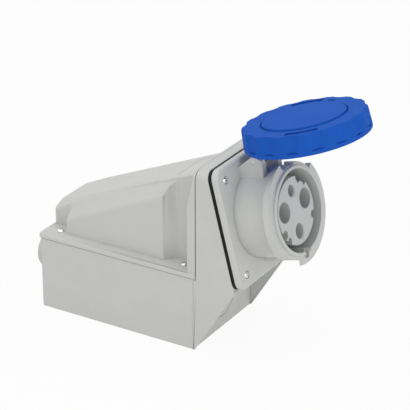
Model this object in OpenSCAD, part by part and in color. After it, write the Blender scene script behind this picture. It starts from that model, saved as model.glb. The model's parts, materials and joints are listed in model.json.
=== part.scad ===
// Surface-mounted industrial socket with an angled face, a screw-down hood,
// a cable gland and a hinged lid that carries a turning bayonet ring.
// Millimetres. The wall is the plane Z = 0, X runs towards the socket face,
// the origin is the middle of the back box on the wall, and the lid stands open.

/* [Back box] */
// Length of the back box along X
base_l = 167; // [155:1:180]
// Width of the back box along Y
base_w = 105; // [102:0.5:108]
// Height of the side walls, where the hood starts
base_h = 71; // [64:1:76]
// Wall of the grey mouldings
wall = 3; // [2.4:0.1:3.6]
// Radius of the back box's upright edges
base_edge_r = 2.5; // [1.5:0.5:4]
// Spacing of the wall holes along X
wall_hole_x = 110; // [90:2:120]
// Spacing of the wall holes along Y
wall_hole_y = 60; // [48:2:66]
// Diameter of the wall holes
wall_hole_d = 5.5; // [4:0.5:7]

/* [Front wedge] */
// Lean of the socket face, in degrees from upright
socket_tilt = 14.5; // [11:0.5:17]
// Socket axis in front of the back box, on the gasket plane
socket_reach = 29; // [27:0.5:33]
// Height of the socket axis on the gasket plane
socket_h = 124; // [120:1:128]
// Hood seam in front of the back box
seam_reach = 2.5; // [2:0.5:4]
// Height of the wedge's top edge at the seam
wedge_top_h = 177; // [174:0.5:179]
// Drop of the wedge's floor below the back box's rim, at the back box
wedge_floor_drop = 14; // [8:1:24]

/* [Flange] */
// Reach of the flange, wedge and hood end past each side of the back box
flange_over = 0.5; // [0:0.1:2]
// Height of the socket flange
flange_h = 112.5; // [110:0.5:118]
// Corner radius of the flange, wedge and hood end
flange_r = 9; // [6:0.5:12]
// Thickness of the flange
flange_t = 5.6; // [5:0.1:7]
// Rounding of the flange's front edge
flange_edge = 2.6; // [1.5:0.1:3.5]
// Thickness of the flange gasket
gasket_t = 3.9; // [2:0.1:4.5]
// Spacing of the flange screws across
flange_screw_w = 79.6; // [76:0.2:84]
// Spacing of the flange screws along the face
flange_screw_h = 88.8; // [86:0.2:94]
// Diameter of the hood and flange screws
screw_d = 4; // [3:0.5:5]

/* [Socket collar] */
// Radius of the plug cavity
cavity_r = 37.3; // [36:0.1:38]
// Radius of the collar
collar_r = 40.8; // [40.4:0.1:41.4]
// Radius of the band behind the mouth
band_r = 43.6; // [43:0.1:44]
// Radius of the lip at the mouth
lip_r = 40.3; // [39.5:0.1:41]
// Start of the band, from the gasket plane
band_start = 38.4; // [34:0.2:40]
// Front of the band and the bayonet wings, from the gasket plane
band_front = 47.9; // [46.5:0.1:49]
// Front of the lip, from the gasket plane
lip_front = 50.1; // [49.5:0.1:50.4]
// Radius of the bayonet wings
wing_r = 48.6; // [47.5:0.1:48.9]
// Thickness of the bayonet wings
wing_t = 5.5; // [4:0.1:5.8]
// Width of the keyway
keyway_w = 9; // [6:0.5:10]
// Radius that the keyway reaches at the mouth
keyway_mouth_r = 44.6; // [42:0.1:45]

/* [Contacts] */
// Radius of the contact carrier's core
core_r = 30.5; // [29.5:0.1:31]
// Front of the core, from the gasket plane
core_front = 46.5; // [42:0.5:49]
// Pitch radius of the contacts
pitch_r = 19; // [18.4:0.1:19.6]
// Angle of the two line contacts from the top, in degrees
line_angle = 75; // [68:1:80]
// Diameter of the line openings
line_hole_d = 18.4; // [16:0.2:19]
// Diameter of the earth opening
earth_hole_d = 13.4; // [12.4:0.2:15]
// Diameter of the pilot opening
pilot_hole_d = 10.2; // [9.2:0.2:12]
// Bore of the line contacts
line_pin_d = 8; // [7:0.5:9]
// Bore of the earth contact
earth_pin_d = 8; // [7:0.5:8.5]
// Bore of the pilot contact
pilot_pin_d = 5; // [4:0.5:5.5]

/* [Hinge] */
// Diameter of the hinge pin
pin_d = 4; // [3:0.5:5]
// Hinge pin in front of the gasket plane
pin_axial = 23.4; // [22.6:0.1:24.2]
// Hinge pin above the socket axis
pin_up = 51.1; // [50.6:0.1:52]
// Gap between the two hinge ears
ear_gap = 21; // [18:0.5:22]
// Thickness of each ear
ear_t = 6.2; // [5:0.2:8]

/* [Lid] */
// Mouth of the closed lid, from the gasket plane
lid_mouth = 39; // [38.4:0.1:39.4]
// Wall of the ring at its mouth
ring_wall = 5.7; // [5:0.1:7]
// How much the ring narrows towards its top
ring_taper = 1; // [0.5:0.1:1.5]
// Height of the ring
ring_h = 19.3; // [18.6:0.1:21]
// Thickness of the ring's top
ring_top_t = 3.8; // [3:0.1:4.2]
// Grip flutes round the ring
flutes = 16; // [12:1:20]
// Depth of a flute at the ring's top
flute_depth = 2.6; // [1.8:0.1:3]
// Depth of a flute at its foot
flute_foot = 1.1; // [0.6:0.1:1.6]
// Plain rim below the flutes
rim_h = 3.5; // [2.5:0.1:5]
// Radius of the raised disc in the middle of the lid
disc_r = 37.4; // [34:0.2:40]
// Height of the raised disc over the ring
disc_h = 1.2; // [0.6:0.1:2]
// Thickness of the bayonet lugs
lug_t = 2.8; // [2:0.1:2.9]

/* [Hood] */
// Height of the hood's top plane, run out to the gland end
hood_h0 = 98.2; // [92:0.5:102]
// Slope of the hood's top, in degrees
hood_slope = 22.5; // [20:0.5:24]
// Width over the hood's side walls
hood_w = 88; // [84:0.5:92]
// Width of the top at the gland end
hood_top_w0 = 50; // [44:1:56]
// Width of the top at the seam
hood_top_w1 = 68.8; // [62:0.2:74]
// Height of the shoulder, run out to the gland end
shoulder_h0 = 80.7; // [79:0.2:84]
// Slope of the shoulder, in degrees
shoulder_slope = 24.5; // [22:0.5:26]
// Length of the end frame at its foot
frame_l = 8; // [7:0.5:10]
// Length of the end frame at its top
frame_top_l = 2; // [1.5:0.5:4]
// Height over which the end frame's back leans
frame_lean_h = 27; // [20:1:34]
// Drop of the end frame below the wedge
frame_drop = 0.6; // [0.4:0.1:1]
// Height of the rim plate
rim_plate_h = 6.5; // [5:0.5:8]
// Overhang of the rim plate
rim_over = 0.9; // [0.5:0.1:1.2]
// Hood screws from the gland end
hood_screw_x0 = 16.5; // [14:0.5:18]
// Hood screws from the seam
hood_screw_x1 = 18.5; // [17:0.5:20]
// Spacing of the hood screws across
hood_screw_w = 83.4; // [80:0.2:86]
// Length of the corner pockets at the gland end
pocket_l = 25; // [22:0.5:28]
// Clear width between the corner pockets at the gland end
pocket_gap = 62; // [56:1:66]
// Length of the round pockets at the seam end
seam_pocket_l = 31; // [28:0.5:34]
// Depth of the round pockets in the hood's side
seam_pocket_d = 10.5; // [9:0.5:12]
// Corner radius of the round pockets
round_pocket_r = 14.5; // [13:0.5:16]
// Length of the sunk field on the hood's top
field_l = 29; // [24:1:34]
// Width of the sunk field on the hood's top
field_w = 42.4; // [36:0.2:48]

/* [Cable gland] */
// Height of the gland's axis
gland_h = 32; // [27:1:40]
// Thread diameter of the gland
gland_d = 32; // [25:1:36]
// Diameter of the gland nut
gland_nut_d = 38; // [36:0.5:44]
// Reach of the gland beyond the end wall
gland_reach = 30; // [26:1:36]
// Bore of the gland's cable seal
cable_d = 18; // [12:1:20]
// Diameter of the blank cable entry in the front wall
knockout_d = 41.4; // [36:0.2:44]

/* [Clearances] */
// Gap between pieces that are put together
fit_gap = 0.15; // [0.1:0.05:0.3]
// Gap between the lid cap and the turning ring
turn_gap = 0.4; // [0.3:0.05:0.6]
// Radial gap of the lid's eye on the hinge pin
pin_gap = 0.05; // [0.03:0.01:0.1]
// Radial gap between the ring and the bayonet wings
wing_clear = 2.1; // [1.8:0.1:2.4]
// Radial gap between the ring's lugs and the band
lug_clear = 2; // [1.8:0.1:2.4]
// Radial gap between the lid's arm and the band
arm_clear = 0.7; // [0.5:0.1:1]
// Open joint round the hood
joint_gap = 0.5; // [0.3:0.1:0.8]

/* [Hidden] */
$fn = 64;

GREY = [0.75, 0.75, 0.73];
CORE_GREY = [0.7, 0.71, 0.7];
BLUE = [0.14, 0.36, 0.74];
STEEL = [0.78, 0.79, 0.8];
BRASS = [0.78, 0.63, 0.33];
RUBBER = [0.1, 0.1, 0.1];

// How far cutting shapes run past the faces they open
cut = 1;
// Thickness of the thin slices that are joined into tapered forms
slice = 0.02;

end_x = -base_l / 2;
front_x = base_l / 2;
seam_x = front_x + seam_reach;
hood_l = base_l + seam_reach - joint_gap;
hood_end_x = seam_x - joint_gap;
hood_foot = base_h + joint_gap;
rim_top = base_h + rim_plate_h;
flange_w = base_w + 2 * flange_over;
half_flange = flange_w / 2;

// Points on the mid-plane, given along the socket axis and up the socket face
socket_o = [front_x + socket_reach, socket_h];
axis_dir = [cos(socket_tilt), sin(socket_tilt)];
face_dir = [-sin(socket_tilt), cos(socket_tilt)];
function on_mid(axial, up) = socket_o + axial * axis_dir + up * face_dir;
wedge_face = -1.5;
flange_back = wedge_face + gasket_t;
flange_front = flange_back + flange_t;
wedge_top = on_mid(wedge_face, flange_h / 2);
wedge_bottom = on_mid(wedge_face, -flange_h / 2);
wedge_floor = [front_x, base_h - wedge_floor_drop];
face_hole_r = cavity_r + 6.7;

// Screws: head and shank radii, and the hole they are driven into
head_r = screw_d * 0.85;
head_h = screw_d * 0.55;
shank_r = screw_d / 2;
head_sink = head_h * 0.7;
boss_r = shank_r + 2.6;
boss_l = 12;

// Ring radii, worked out from the bayonet
ring_in_r = wing_r + wing_clear;
ring_r = ring_in_r + ring_wall;
ring_top_r = ring_r - ring_taper;
lug_r = band_r + lug_clear;

// Lid in its own frame: Z out of the lid's top, X away from the hinge
lid_open = [pin_axial + pin_up, pin_up + lid_mouth - pin_axial];
lid_o = on_mid(lid_open[0], lid_open[1]);
eye_x = -pin_up;
eye_z = pin_axial - lid_mouth;
plate_top = ring_h - ring_top_t - turn_gap;
plate_t = 3;
plate_bottom = plate_top - plate_t;
seal_face = lip_front - lid_mouth + 0.3;
seal_in_r = cavity_r + 0.4;
seal_out_r = collar_r + 1.2;
seal_depth = 1.6;
lug_span = 26;
lug_angle = 146.5;

// Contact rows: name index to angle on the face and opening and bore sizes
contact_angles = [line_angle, -line_angle, 180, 0];
contact_holes = [line_hole_d, line_hole_d, earth_hole_d, pilot_hole_d];
contact_bores = [line_pin_d, line_pin_d, earth_pin_d, pilot_pin_d];
sleeve_t = 2.2;
sleeve_front = 28;
opening_floor = 14;
carrier_back = -28;
carrier_plate_t = 6;
carrier_plate_r = face_hole_r - 2;
retainer_t = 3;
terminal_back = -46;
carrier_screw_r = carrier_plate_r - 3.2;

module at_socket() {
    translate([socket_o[0], 0, socket_o[1]])
        rotate([0, 90 - socket_tilt, 0])
        rotate([0, 0, 180])
        children();
}

module at_lid() {
    translate([lid_o[0], 0, lid_o[1]])
        rotate([0, -socket_tilt, 0])
        children();
}

module at_gland() {
    translate([end_x, 0, gland_h])
        rotate([0, -90, 0])
        children();
}

module at_contact(i) {
    rotate([0, 0, -contact_angles[i]])
        translate([pitch_r, 0, 0])
        children();
}

module both_sides() {
    children();
    mirror([0, 1, 0]) children();
}

module hood_screw_places() {
    for (x = [end_x + hood_screw_x0, seam_x - hood_screw_x1], y = [-1, 1])
        translate([x, y * hood_screw_w / 2, 0]) children();
}

module flange_screw_places() {
    for (x = [-1, 1], y = [-1, 1])
        translate([x * flange_screw_h / 2, y * flange_screw_w / 2, 0]) children();
}

module carrier_screw_places() {
    for (a = [35, 145, 215, 325])
        rotate([0, 0, a]) translate([carrier_screw_r, 0, 0]) children();
}

// Rectangle with round corners, centred
module round_rect(w, h, r) {
    square([w - 2 * r, h], center = true);
    square([w, h - 2 * r], center = true);
    for (x = [-1, 1], y = [-1, 1])
        translate([x * (w / 2 - r), y * (h / 2 - r)]) circle(r);
}

// Extrudes a side view, drawn as X and Z, to a width along Y
module side_extrude(w) {
    rotate([90, 0, 0]) linear_extrude(w, center = true) children();
}

// Extrudes a front view, drawn as Y and Z, along X
module front_extrude(l) {
    rotate([90, 0, 90]) linear_extrude(l) children();
}

// What a round edge of radius r takes off a square one that runs along X
module edge_cut(r, l) {
    translate([-l / 2, -r, -r])
        difference() {
            cube([l, r + cut, r + cut]);
            translate([-cut, 0, 0]) rotate([0, 90, 0]) cylinder(r = r, h = l + 2 * cut);
        }
}

module pan_screw(length) {
    difference() {
        union() {
            translate([0, 0, -length]) cylinder(r = shank_r, h = length);
            cylinder(r1 = head_r, r2 = head_r * 0.86, h = head_h);
        }
        for (a = [0, 90])
            rotate([0, 0, a])
                translate([-head_r * 0.55, -screw_d * 0.1, head_h * 0.5])
                cube([head_r * 1.1, screw_d * 0.2, head_h]);
    }
}

module wedge_outline() {
    polygon([wedge_floor, [front_x, base_h], [seam_x, base_h], [seam_x, wedge_top_h], wedge_top, wedge_bottom]);
}

module wedge_hollow() {
    inner_top = on_mid(wedge_face - wall, flange_h / 2 - wall);
    inner_bottom = on_mid(wedge_face - wall, -flange_h / 2 + wall);
    polygon([[front_x + wall, wedge_floor[1] + wall], [front_x + wall, base_h], [front_x, base_h],
        [front_x, wedge_top_h - wall], [seam_x, wedge_top_h - wall], inner_top, inner_bottom]);
}

module wedge_top_edges() {
    run = wedge_top - [seam_x, wedge_top_h];
    both_sides()
        translate([seam_x, half_flange, wedge_top_h])
        rotate([0, -atan2(run[1], run[0]), 0])
        edge_cut(flange_r, 4 * norm(run));
}

// Cheek under the wedge, which reaches a little past the wall and the wedge's face
cheek_foot = 0.8;
cheek_over = 1.9;
module cheek_outline() {
    cheek_top = on_mid(wedge_face + cheek_over, -flange_h / 2);
    polygon([[front_x, 0], [front_x + cheek_foot, 0], cheek_top, wedge_bottom, wedge_floor]);
}

// Round groove that marks a blank cable entry in the front wall
knockout_groove = 0.9;
module knockout_mark() {
    translate([front_x - knockout_groove, 0, gland_h])
        rotate([0, 90, 0])
        difference() {
            cylinder(d = knockout_d + knockout_groove, h = 2 * knockout_groove, $fn = 128);
            translate([0, 0, -cut]) cylinder(d = knockout_d - knockout_groove, h = 3 * knockout_groove, $fn = 128);
        }
}

// Way for the wires from the back box into the wedge, through both front walls
gate_w = 64;
gate_sill = 5;
module wire_gate() {
    translate([front_x - 2 * wall, -gate_w / 2, wedge_floor[1] + gate_sill])
        cube([4 * wall, gate_w, base_h]);
}

wedge_screw_inset = 10.5;
wedge_screw_w = base_w - 2 * wedge_screw_inset;
module wedge_screw_places() {
    both_sides()
        translate([front_x - wall, wedge_screw_w / 2, (wedge_floor[1] + base_h) / 2])
        rotate([0, -90, 0]) children();
}

front_edge_r = 0.8;
module base_box() {
    rib_t = 2;
    screw_depth = 24;
    color(GREY)
        difference() {
            union() {
                difference() {
                    linear_extrude(base_h) {
                        round_rect(base_l, base_w, base_edge_r);
                        translate([base_l / 4, 0]) round_rect(base_l / 2, base_w, front_edge_r);
                    }
                    translate([0, 0, wall]) linear_extrude(base_h)
                        round_rect(base_l - 2 * wall, base_w - 2 * wall, base_edge_r);
                }
                hood_screw_places() cylinder(r = boss_r, h = base_h);
                both_sides()
                    for (x = [end_x + hood_screw_x0, seam_x - hood_screw_x1])
                        translate([x - rib_t / 2, hood_screw_w / 2, 0])
                        cube([rib_t, base_w / 2 - hood_screw_w / 2 - wall / 2, base_h]);
            }
            wire_gate();
            knockout_mark();
            wedge_screw_places() translate([0, 0, -2 * wall]) cylinder(r = shank_r + fit_gap, h = 3 * wall);
            hood_screw_places()
                translate([0, 0, base_h - screw_depth]) cylinder(r = shank_r + fit_gap, h = screw_depth + cut);
            for (x = [-1, 1], y = [-1, 1])
                translate([x * wall_hole_x / 2, y * wall_hole_y / 2, -cut])
                cylinder(d = wall_hole_d, h = wall + 2 * cut);
            at_gland() translate([0, 0, -wall - cut]) cylinder(r = gland_d / 2 + fit_gap, h = wall + 2 * cut);
        }
}

module front_wedge() {
    color(GREY)
        difference() {
            union() {
                difference() {
                    side_extrude(flange_w) wedge_outline();
                    wedge_top_edges();
                }
                both_sides()
                    translate([0, half_flange - wall / 2, 0])
                    side_extrude(wall) cheek_outline();
            }
            difference() {
                side_extrude(flange_w - 2 * wall) wedge_hollow();
                at_socket() flange_screw_places()
                    translate([0, 0, wedge_face - boss_l]) cylinder(r = boss_r, h = boss_l);
            }
            wire_gate();
            wedge_screw_places() translate([0, 0, -3 * wall]) cylinder(r = shank_r + fit_gap, h = 3 * wall);
            at_socket() {
                translate([0, 0, wedge_face - wall - cut]) cylinder(r = face_hole_r, h = wall + 2 * cut);
                flange_screw_places()
                    translate([0, 0, wedge_face - boss_l - cut])
                    cylinder(r = shank_r + fit_gap, h = boss_l + 2 * cut);
            }
        }
}

wedge_screw_bite = 4;
module wedge_screws() {
    color(STEEL)
        wedge_screw_places() pan_screw(2 * wall + wedge_screw_bite);
}

// Hood heights and half widths at a distance from the gland end
frame_x = hood_l - frame_l;
frame_top = wedge_top_h - frame_drop;
function hood_top(x) = hood_h0 + x * tan(hood_slope);
function shoulder(x) = shoulder_h0 + x * tan(shoulder_slope);
hood_edge_r = 8;
hood_inset = 1;

// Centre of a circle of radius r that rounds the corner b between a and c
function corner_centre(a, b, c, r) =
    let (u = (a - b) / norm(a - b), v = (c - b) / norm(c - b), w = (u + v) / norm(u + v))
    b + w * r / sin(acos(u * v) / 2);

// Cross-section of the hood with its sloped shoulders, as a thin slice that is set in by i
knee_r = 7;
crest_r = 9;
crest_share = 0.4;
module hood_slice(x, top, half_top, i) {
    half = hood_w / 2 - i;
    knee = [half, shoulder(x) - i];
    crest = [half_top - crest_share * i, top - i];
    translate([end_x + x, 0, 0])
        front_extrude(slice) {
            translate([-half, hood_foot]) square([2 * half, slice]);
            for (side = [0, 1])
                mirror([side, 0]) {
                    translate(corner_centre([half, 0], knee, crest, knee_r - i)) circle(knee_r - i, $fn = 32);
                    translate(corner_centre(knee, crest, [0, top - i], crest_r - i)) circle(crest_r - i, $fn = 32);
                }
        }
}

// Cross-section of the end frame, square below and round at its top corners
module frame_slice(x, top, i) {
    half = half_flange - i;
    r = flange_r - i;
    translate([end_x + x, 0, 0])
        front_extrude(slice) {
            translate([-half, hood_foot]) square([2 * half, top - i - r - hood_foot]);
            translate([-half + r, hood_foot]) square([2 * half - 2 * r, top - i - hood_foot]);
            for (y = [-1, 1])
                translate([y * (half - r), top - i - r]) circle(r, $fn = 32);
        }
}

// The hood's form, set in by i, with round corners at the gland end
end_corner_r = 5;
function hood_half_top(x) = (hood_top_w0 + (hood_top_w1 - hood_top_w0) * x / hood_l) / 2;
module hood_form(i) {
    edge_x = hood_inset + hood_edge_r;
    edge_z = hood_top(edge_x) - hood_edge_r / cos(hood_slope);
    shoulder_share = (hood_w - pocket_gap) / (hood_w - hood_top_w0);
    corner_top = shoulder_h0 + shoulder_share * (hood_h0 - shoulder_h0);
    hull() {
        both_sides() {
            translate([end_x + edge_x, hood_top_w0 / 2 - hood_edge_r, edge_z])
                sphere(r = hood_edge_r - i, $fn = 32);
            translate([end_x + hood_inset + end_corner_r, pocket_gap / 2 - end_corner_r, hood_foot])
                cylinder(r = end_corner_r - i, h = corner_top - hood_foot - i, $fn = 32);
        }
        hood_slice(pocket_l, hood_top(pocket_l), hood_half_top(pocket_l), i);
        hood_slice(hood_l - slice, hood_top(hood_l), hood_half_top(hood_l), i);
    }
    hull() {
        frame_slice(frame_x + i, frame_top - frame_lean_h, i);
        frame_slice(min(hood_l - frame_top_l + i, hood_l - slice), frame_top, i);
        frame_slice(hood_l - slice, frame_top, i);
    }
}

// Screw pockets in the hood's corners, grown by e
pocket_r = 6;
module hood_pockets(e) {
    floor_z = rim_top - e;
    tall = wedge_top_h;
    outside = round_pocket_r - seam_pocket_d;
    round_x = frame_x - seam_pocket_l + sqrt(pow(round_pocket_r, 2) - pow(outside, 2));
    both_sides() {
        translate([end_x, pocket_gap / 2, floor_z])
            linear_extrude(tall)
            translate([pocket_l / 2 - base_w / 2 + e / 2, base_w / 2 - e / 2])
            round_rect(pocket_l + base_w + e, base_w + e, pocket_r + e);
        translate([end_x + round_x, hood_w / 2 + outside, floor_z]) {
            cylinder(r = round_pocket_r + e, h = tall);
            translate([-round_pocket_r - e, 0, 0]) cube([2 * (round_pocket_r + e), base_w, tall]);
            translate([0, -round_pocket_r - e, 0]) cube([frame_x - round_x + e, base_w, tall]);
        }
    }
}

// Shallow field on the hood's top, close to the end frame
field_r = 4;
field_depth = 0.4;
field_back = 39;
module top_field() {
    x = hood_l - field_back;
    translate([end_x + x, 0, hood_top(x)])
        rotate([0, -hood_slope, 0])
        translate([field_l / 2, 0, -field_depth]) linear_extrude(wall) round_rect(field_l, field_w, field_r);
}

rim_edge = 2.2;
module hood_rim() {
    rim_w = base_w + 2 * rim_over;
    rim_mid = (end_x - rim_over + hood_end_x) / 2;
    hull() {
        translate([rim_mid, 0, hood_foot])
            linear_extrude(rim_top - rim_edge - hood_foot)
            round_rect(hood_l + rim_over, rim_w, base_edge_r, $fn = 32);
        translate([rim_mid, 0, rim_top - slice])
            linear_extrude(slice)
            round_rect(hood_l + rim_over - 2 * rim_edge, rim_w - 2 * rim_edge, base_edge_r, $fn = 32);
    }
    // The plate stays square where it meets the wedge
    translate([hood_end_x - frame_l, -rim_w / 2, hood_foot]) cube([frame_l, rim_w, rim_top - hood_foot]);
}

seal_w = 1.5;
seal_h = 1.4;

// Ring that follows the back box's walls on three sides
module seal_track(w, h, extra) {
    l = base_l - wall;
    translate([0, 0, base_h - extra])
        linear_extrude(h + extra)
        difference() {
            round_rect(l + w, base_w - wall + w, base_edge_r);
            round_rect(l - w, base_w - wall - w, base_edge_r - w / 2);
            translate([front_x - wall - cut, -base_w]) square([base_l, 2 * base_w]);
        }
}

// Arch that follows the wedge's back edge
module seal_arch(w, t) {
    half = half_flange - wall / 2;
    arch_top = wedge_top_h - wall / 2 - frame_drop;
    translate([seam_x - t, 0, 0])
        front_extrude(t)
        difference() {
            translate([0, (arch_top + base_h) / 2])
                round_rect(2 * half + w, arch_top - base_h + w, flange_r - wall / 2);
            translate([0, (arch_top + base_h) / 2])
                round_rect(2 * half - w, arch_top - base_h - w, flange_r - wall / 2 - w / 2);
            translate([-base_w, base_h - base_w]) square([2 * base_w, base_w]);
        }
}

module cover_seal() {
    color(RUBBER) {
        seal_track(seal_w, seal_h, 0);
        seal_arch(seal_w, seal_h);
    }
}

module cover_hood() {
    color(GREY)
        difference() {
            union() {
                hood_rim();
                hood_form(0);
            }
            hood_pockets(0);
            top_field();
            difference() {
                union() {
                    hood_form(wall);
                    translate([end_x + 2 * wall, -base_w / 2 + 2 * wall, base_h - cut])
                        cube([hood_l - 2 * wall + cut, base_w - 4 * wall, rim_plate_h - wall + cut]);
                    translate([end_x + frame_x + wall, -half_flange + 2 * wall, base_h - cut])
                        cube([frame_l, flange_w - 4 * wall, frame_top - frame_lean_h - flange_r - base_h]);
                }
                hood_pockets(wall);
                hood_screw_places() cylinder(r = boss_r, h = rim_top);
            }
            hood_screw_places()
                translate([0, 0, base_h - cut])
                cylinder(r = shank_r + 2 * fit_gap, h = wedge_top_h);
            seal_track(seal_w + 2 * fit_gap, seal_h + fit_gap, cut);
            seal_arch(seal_w + 2 * fit_gap, seal_h + fit_gap);
        }
}

hood_screw_bite = 18;
module cover_screws() {
    color(STEEL)
        hood_screw_places() translate([0, 0, rim_top]) pan_screw(rim_plate_h + hood_screw_bite);
}

module flange_gasket() {
    inset = 0.2;
    color(RUBBER)
        at_socket() translate([0, 0, wedge_face])
        difference() {
            linear_extrude(gasket_t) round_rect(flange_h - 2 * inset, flange_w - 2 * inset, flange_r);
            translate([0, 0, -cut]) cylinder(r = face_hole_r, h = gasket_t + 2 * cut);
            flange_screw_places()
                translate([0, 0, -cut])
                cylinder(r = shank_r + 2 * fit_gap, h = gasket_t + 2 * cut);
        }
}

module flange_plate() {
    hull() {
        translate([0, 0, flange_back]) linear_extrude(slice)
            round_rect(flange_h, flange_w, flange_r, $fn = 32);
        for (a = [0:22.5:90]) {
            step = flange_edge * (1 - cos(a));
            translate([0, 0, flange_front - flange_edge + flange_edge * sin(a) - slice]) linear_extrude(slice)
                round_rect(flange_h - 2 * step, flange_w - 2 * step, flange_r - step, $fn = 32);
        }
    }
}

lip_edge = 0.6;
root_groove = 0.6;
module collar_form() {
    rotate_extrude($fn = 128)
        polygon([[0, flange_back], [collar_r, flange_back], [collar_r, band_start], [band_r, band_start],
            [band_r, band_front - lip_edge], [band_r - lip_edge, band_front], [lip_r, band_front],
            [lip_r, lip_front - lip_edge], [lip_r - lip_edge, lip_front], [0, lip_front]]);
}

// Fine groove in the flange round the collar's root
module collar_groove() {
    translate([0, 0, flange_front - root_groove])
        difference() {
            cylinder(r = collar_r + root_groove, h = 2 * root_groove, $fn = 128);
            translate([0, 0, -cut]) cylinder(r = collar_r, h = 3 * root_groove, $fn = 128);
        }
}

// Bayonet wing from its blunt end to its thin tip, in clock degrees seen from the front
wing_tip_t = 0.8;
wing_ramp = 42;
module wing(blunt, tip) {
    slope = atan2(wing_t - wing_tip_t, wing_r * sin(wing_ramp));
    rotate([0, 0, -tip])
        difference() {
            rotate_extrude(angle = tip - blunt, $fn = 128)
                translate([band_r - 2, band_front - wing_t]) square([wing_r - band_r + 2, wing_t]);
            translate([0, 0, band_front - wing_tip_t])
                rotate([-slope, 0, 0])
                translate([0, -wing_r / 4, -2 * wing_t]) cube([2 * wing_r, 1.2 * wing_r, 2 * wing_t]);
        }
}

// Slot of the keyway with width w that reaches the radius r, from a distance in front of the gasket plane
module keyway(w, r, from) {
    translate([-r + w / 2, 0, from]) {
        cylinder(d = w, h = lip_front);
        translate([0, -w / 2, 0]) cube([2 * w, w, lip_front]);
    }
}

// Gap in the band that the lid's arm swings into
arm_gap_angle = 25;
arm_gap_floor = 0.3;
module arm_gap() {
    rotate([0, 0, -arm_gap_angle / 2])
        rotate_extrude(angle = arm_gap_angle, $fn = 128)
        translate([collar_r + arm_gap_floor, band_start - cut])
        square([2 * (band_r - collar_r), band_front - band_start + 2 * cut]);
}

// One ear, as heights over the socket axis and distances from the gasket plane
ear_lip = 5.2;
module ear_outline() {
    low = collar_r - ear_lip;
    polygon([[low, flange_front - cut], [pin_up - 3.2, flange_front - cut], [pin_up - 3.2, flange_front],
        [pin_up + 4.1, pin_axial - 2.4], [pin_up + 5.2, pin_axial + 2.6], [pin_up + 1.5, pin_axial + 9],
        [pin_up - 3.1, pin_axial + 9.4], [low, pin_axial + 7.8]]);
}

keyway_start = 8;
keyway_mouth = 6.7;
keyway_lead = 0.4;
module socket_housing() {
    boss_w = keyway_w + 7;
    keyway_floor = cavity_r + 3.6;
    color(GREY)
        at_socket()
        difference() {
            union() {
                difference() {
                    flange_plate();
                    collar_groove();
                }
                collar_form();
                wing(50, 197);
                wing(230, 345);
                translate([-keyway_floor - wall, -boss_w / 2, flange_front - cut])
                    cube([keyway_floor + wall, boss_w, band_start - flange_front + 2 * cut]);
                both_sides()
                    translate([0, ear_gap / 2 + ear_t, 0])
                    rotate([90, 0, 0]) linear_extrude(ear_t) ear_outline();
            }
            translate([0, 0, -cut]) cylinder(r = cavity_r, h = lip_front + 2 * cut, $fn = 128);
            keyway(keyway_w, keyway_floor, flange_front + keyway_start);
            keyway(keyway_w + keyway_lead, keyway_mouth_r, lip_front - keyway_mouth);
            arm_gap();
            flange_screw_places() {
                translate([0, 0, -cut]) cylinder(r = shank_r + 2 * fit_gap, h = flange_front + 2 * cut);
                translate([0, 0, flange_front - head_sink]) cylinder(r = head_r + 2 * fit_gap, h = flange_t);
            }
            carrier_screw_places()
                translate([0, 0, -cut]) cylinder(r = carrier_screw_d / 2 + fit_gap, h = flange_front + cut);
            translate([pin_up, 0, pin_axial]) rotate([90, 0, 0])
                cylinder(r = pin_d / 2 + pin_gap / 2, h = ear_gap + 3 * ear_t, center = true);
        }
}

flange_screw_bite = 6;
module flange_screws() {
    color(STEEL)
        at_socket() flange_screw_places()
        translate([0, 0, flange_front - head_sink]) pan_screw(flange_t + gasket_t + flange_screw_bite);
}

mouth_chamfer = 1.2;
module carrier_bores() {
    for (i = [0:3])
        at_contact(i) {
            translate([0, 0, carrier_back - cut])
                cylinder(r = contact_bores[i] / 2 + sleeve_t + fit_gap, h = core_front - carrier_back + 2 * cut);
            translate([0, 0, opening_floor]) cylinder(d = contact_holes[i], h = core_front);
        }
    // The earth and pilot openings lead the pins in
    for (i = [2, 3])
        at_contact(i) translate([0, 0, core_front - mouth_chamfer])
            cylinder(d1 = contact_holes[i], d2 = contact_holes[i] + 4 * mouth_chamfer, h = 2 * mouth_chamfer);
}

// Notches in the edge of the core's face: clock angle, distance inside the edge and radius
core_notches = [[29.5, 2.6, 2.8], [50, 2, 1.8], [116.5, 1, 3.6], [222, 2.2, 2.8], [241, 2.6, 3.9]];
step_from = 20.5;
step_to = 53.5;
step_in = 2.9;
notch_depth = 12;
module core_edge_cuts() {
    translate([0, 0, core_front - notch_depth]) {
        for (n = core_notches)
            rotate([0, 0, -n[0]]) {
                translate([core_r - n[1], 0, 0]) cylinder(r = n[2], h = 2 * notch_depth);
                translate([core_r - n[1], -n[2], 0]) cube([2 * n[2], 2 * n[2], 2 * notch_depth]);
            }
        rotate([0, 0, -step_to])
            rotate_extrude(angle = step_to - step_from, $fn = 128)
            translate([core_r - step_in, 0]) square([2 * step_in, 2 * notch_depth]);
    }
}

carrier_screw_d = 3;
module contact_carrier() {
    color(CORE_GREY)
        at_socket()
        difference() {
            union() {
                translate([0, 0, flange_back - carrier_plate_t])
                    cylinder(r = carrier_plate_r, h = carrier_plate_t, $fn = 128);
                translate([0, 0, carrier_back]) cylinder(r = core_r, h = core_front - carrier_back, $fn = 128);
            }
            carrier_bores();
            core_edge_cuts();
            carrier_screw_places()
                translate([0, 0, -carrier_plate_t])
                    cylinder(r = carrier_screw_d / 2 + 2 * fit_gap, h = 2 * carrier_plate_t);
        }
}

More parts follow.
